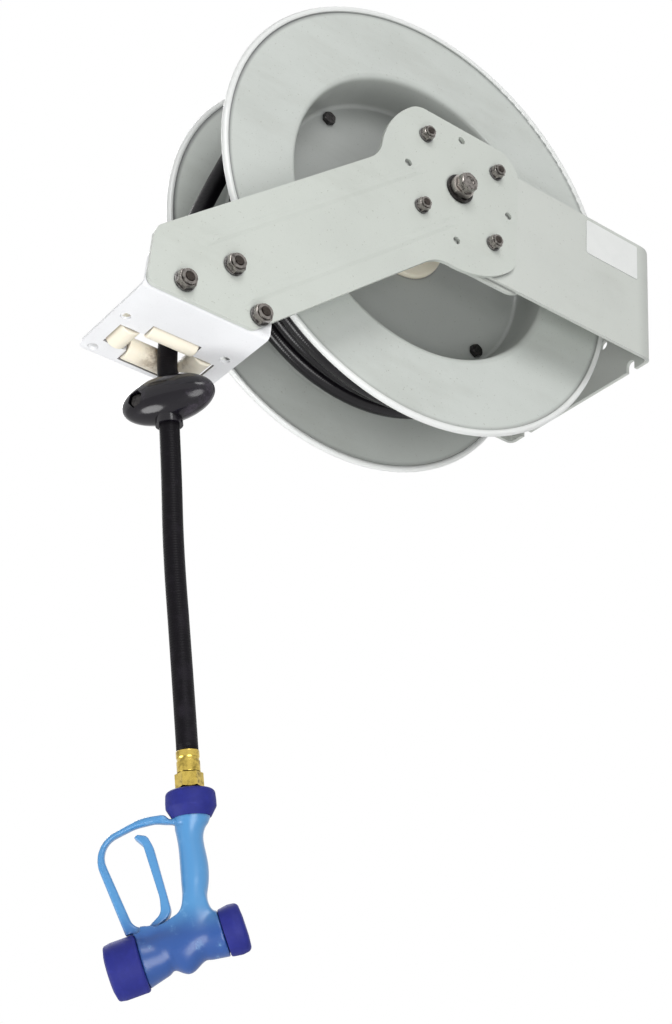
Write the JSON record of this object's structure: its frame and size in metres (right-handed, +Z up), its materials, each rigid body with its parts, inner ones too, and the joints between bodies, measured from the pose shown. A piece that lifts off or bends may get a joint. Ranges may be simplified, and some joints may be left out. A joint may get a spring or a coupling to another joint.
{
  "type": "hose reel",
  "caption": "Wall mounted spring rewind hose reel with a roller guide arm, a ball stop and a pistol wash gun.",
  "frame": {"origin": "centre of the four wall bolt holes, on the back face of the web that lies on the wall", "axes": "+X into the wall, +Y along the axle from the guide arm's side to the water inlet, +Z up"},
  "size_m": [0.598, 0.308, 1.0865],
  "materials": {
    "frame_paint": "light grey powder coat, satin",
    "arm_paint": "light grey powder coat, satin",
    "disc_paint": "light grey powder coat, satin",
    "label_blank": "blank white label",
    "zinc": "zinc plated fasteners",
    "dark_steel": "dark washer",
    "shaft_steel": "machined shaft",
    "steel_inside": "spring and ratchet steel",
    "nylon_cream": "cream nylon",
    "brass": "machined brass",
    "hose_rubber": "black hose with a fine textile print",
    "seal_rubber": "seals",
    "stop_black": "glossy black ball stop",
    "gun_blue": "blue coated gun body",
    "cap_blue": "dark blue caps",
    "trigger_blue": "blue coated lever"
  },
  "bodies": {
    "stand": {"wall_frame": "frame_paint", "rating_plate": "label_blank", "near_bearing_plate": "frame_paint", "far_bearing_plate": "frame_paint", "guide_arm": "arm_paint", "head_bolts": "zinc", "head_washers": "zinc", "head_nuts": "zinc", "arm_end_bolts": "zinc", "arm_end_washers": "zinc", "arm_end_nuts": "zinc", "main_shaft": "shaft_steel", "shaft_washer": "dark_steel", "shaft_end_bolt": "zinc", "shaft_far_washer": "zinc", "shaft_far_nut": "zinc", "inlet_fitting": "brass", "roller_bracket": "frame_paint", "long_roller_pins": "zinc", "short_roller_pins": "zinc", "spring_arbor": "steel_inside", "power_spring": "steel_inside", "pawl_pin": "zinc", "pawl_spring": "steel_inside", "hose_lead": "hose_rubber", "hose_free": "hose_rubber", "stop_front": "stop_black", "stop_back": "stop_black", "stop_bolts": "zinc", "ferrule": "brass", "hose_nipple": "brass"},
    "drum": {"near_disc": "disc_paint", "far_disc": "disc_paint", "drum_band": "steel_inside", "tie_bolts": "zinc", "tie_nuts": "zinc", "near_hub": "nylon_cream", "swivel_hub": "brass", "swivel_seals": "seal_rubber", "hub_screws": "zinc", "riser_pipe": "brass", "riser_nut": "brass", "spring_anchor": "steel_inside", "ratchet_wheel": "steel_inside", "hose_core": "hose_rubber", "hose_winding": "hose_rubber"},
    "near_roller_body": {"near_roller": "nylon_cream"},
    "far_roller_body": {"far_roller": "nylon_cream"},
    "left_roller_body": {"left_roller": "nylon_cream"},
    "right_roller_body": {"right_roller": "nylon_cream"},
    "pawl_body": {"pawl": "steel_inside"},
    "gun": {"gun_body": "gun_blue", "inlet_cap": "cap_blue", "front_cap": "cap_blue", "rear_cap": "cap_blue", "nozzle_insert": "brass", "trigger_pin": "shaft_steel", "valve_spring": "steel_inside"},
    "trigger": {"gun_trigger": "trigger_blue"},
    "valve": {"valve_stem": "brass"}
  },
  "joints": [
    {"name": "drum_spin", "type": "hinge", "parent": "stand", "child": "drum", "pos_m": [-0.272, 0, 0], "axis": [0, -1, 0], "continuous": true, "deforming": ["power_spring", "hose_lead"]},
    {"name": "near_roller_spin", "type": "hinge", "parent": "stand", "child": "near_roller_body", "pos_m": [-0.5345, -0.0525, -0.2668], "axis": [1, 0, 0], "continuous": true},
    {"name": "far_roller_spin", "type": "hinge", "parent": "stand", "child": "far_roller_body", "pos_m": [-0.5345, -0.0075, -0.2668], "axis": [1, 0, 0], "continuous": true},
    {"name": "left_roller_spin", "type": "hinge", "parent": "stand", "child": "left_roller_body", "pos_m": [-0.572, -0.03, -0.2668], "axis": [0, 1, 0], "continuous": true},
    {"name": "right_roller_spin", "type": "hinge", "parent": "stand", "child": "right_roller_body", "pos_m": [-0.497, -0.03, -0.2668], "axis": [0, 1, 0], "continuous": true},
    {"name": "pawl_swing", "type": "hinge", "parent": "stand", "child": "pawl_body", "pos_m": [-0.249, 0, 0.058], "axis": [0, 1, 0], "range_deg": [-12, 5], "deforming": ["pawl_spring"]},
    {"name": "gun_swivel", "type": "hinge", "parent": "stand", "child": "gun", "pos_m": [-0.44722, -0.03, -0.67444], "axis": [0.2069, 0, -0.9784], "continuous": true},
    {"name": "trigger_pull", "type": "hinge", "parent": "gun", "child": "trigger", "pos_m": [-0.44667, -0.01107, -0.8077], "axis": [0.5612, 0.8192, 0.1187], "range_deg": [0, 9], "stiffness_Nm_per_rad": 1, "springref_deg": -17.19, "deforming": ["valve_spring"]},
    {"name": "valve_slide", "type": "slide", "parent": "gun", "child": "valve", "axis": [0.7262, -0.5561, 0.4043], "range_m": [0, 0.0012]}
  ],
  "couplings": [
    {"joint": "valve_slide", "follows": "trigger_pull", "m_per_rad": 0.0068}
  ]
}
